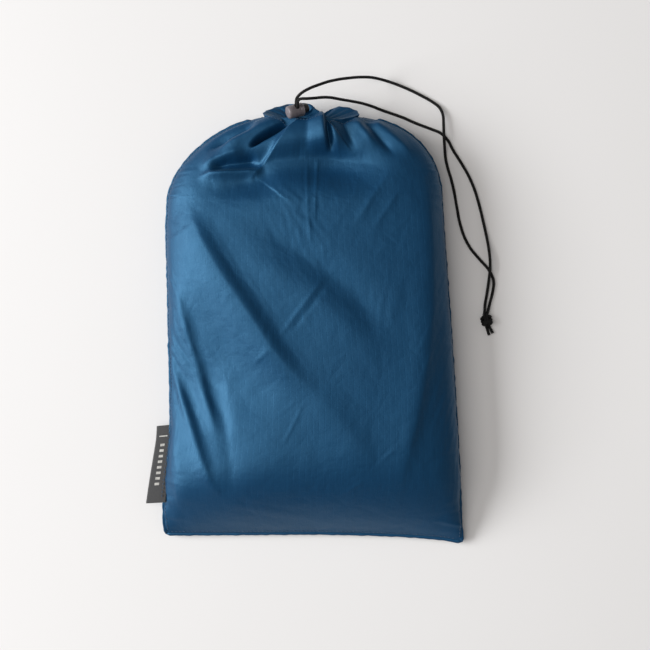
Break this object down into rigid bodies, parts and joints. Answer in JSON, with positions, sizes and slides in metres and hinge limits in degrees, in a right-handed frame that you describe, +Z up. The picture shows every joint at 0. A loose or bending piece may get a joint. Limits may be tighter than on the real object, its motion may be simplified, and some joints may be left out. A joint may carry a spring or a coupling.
{
  "type": "drawcord stuff sack",
  "caption": "Filled ripstop nylon stuff sack with a gathered drawcord mouth, sliding cord lock, knotted cord tails and a side label.",
  "frame": {"origin": "on the flat underside of the back panel, near the middle of the filled body, at the height of the surface it lies on", "axes": "+X to the sack's right as seen from its front, +Y along its length towards the mouth, +Z up through the front panel"},
  "size_m": [0.266, 0.3516, 0.0525],
  "materials": {
    "load_fabric": "soft folded garment",
    "sack_fabric": "silicone-coated ripstop nylon, satin",
    "seam_fabric": "folded ripstop nylon",
    "thread": "polyester sewing thread",
    "cord": "braided nylon cord",
    "lock_barrel": "moulded, satin grey",
    "lock_plunger": "moulded, black",
    "spring_steel": "drawn wire",
    "label_tape": "woven tape"
  },
  "bodies": {
    "sack": {"packed_load": "load_fabric", "front_panel": "sack_fabric", "back_panel": "sack_fabric", "left_side_seam": "seam_fabric", "right_side_seam": "seam_fabric", "bottom_seam": "seam_fabric", "hem_channel": "sack_fabric", "exit_buttonhole": "thread", "drawcord_loop": "cord", "cord_tail_upper": "cord", "cord_tail_lower": "cord", "end_knot": "cord", "side_label": "label_tape", "left_seam_thread": "thread", "right_seam_thread": "thread", "bottom_seam_thread": "thread", "hem_thread": "thread", "label_thread": "thread"},
    "cord_lock": {"cord_lock_barrel": "lock_barrel", "cord_lock_spring": "spring_steel"},
    "plunger": {"cord_lock_plunger": "lock_plunger"}
  },
  "joints": [
    {"name": "lock_slide", "type": "slide", "parent": "sack", "child": "cord_lock", "axis": [0.098, 0.6191, 0.7792], "range_m": [0, 0.005]},
    {"name": "plunger_press", "type": "slide", "parent": "cord_lock", "child": "plunger", "axis": [-0.8939, -0.29, 0.3419], "range_m": [0, 0.0025], "stiffness_N_per_m": 1500, "springref_m": -0.003, "deforming": ["cord_lock_spring"]}
  ]
}
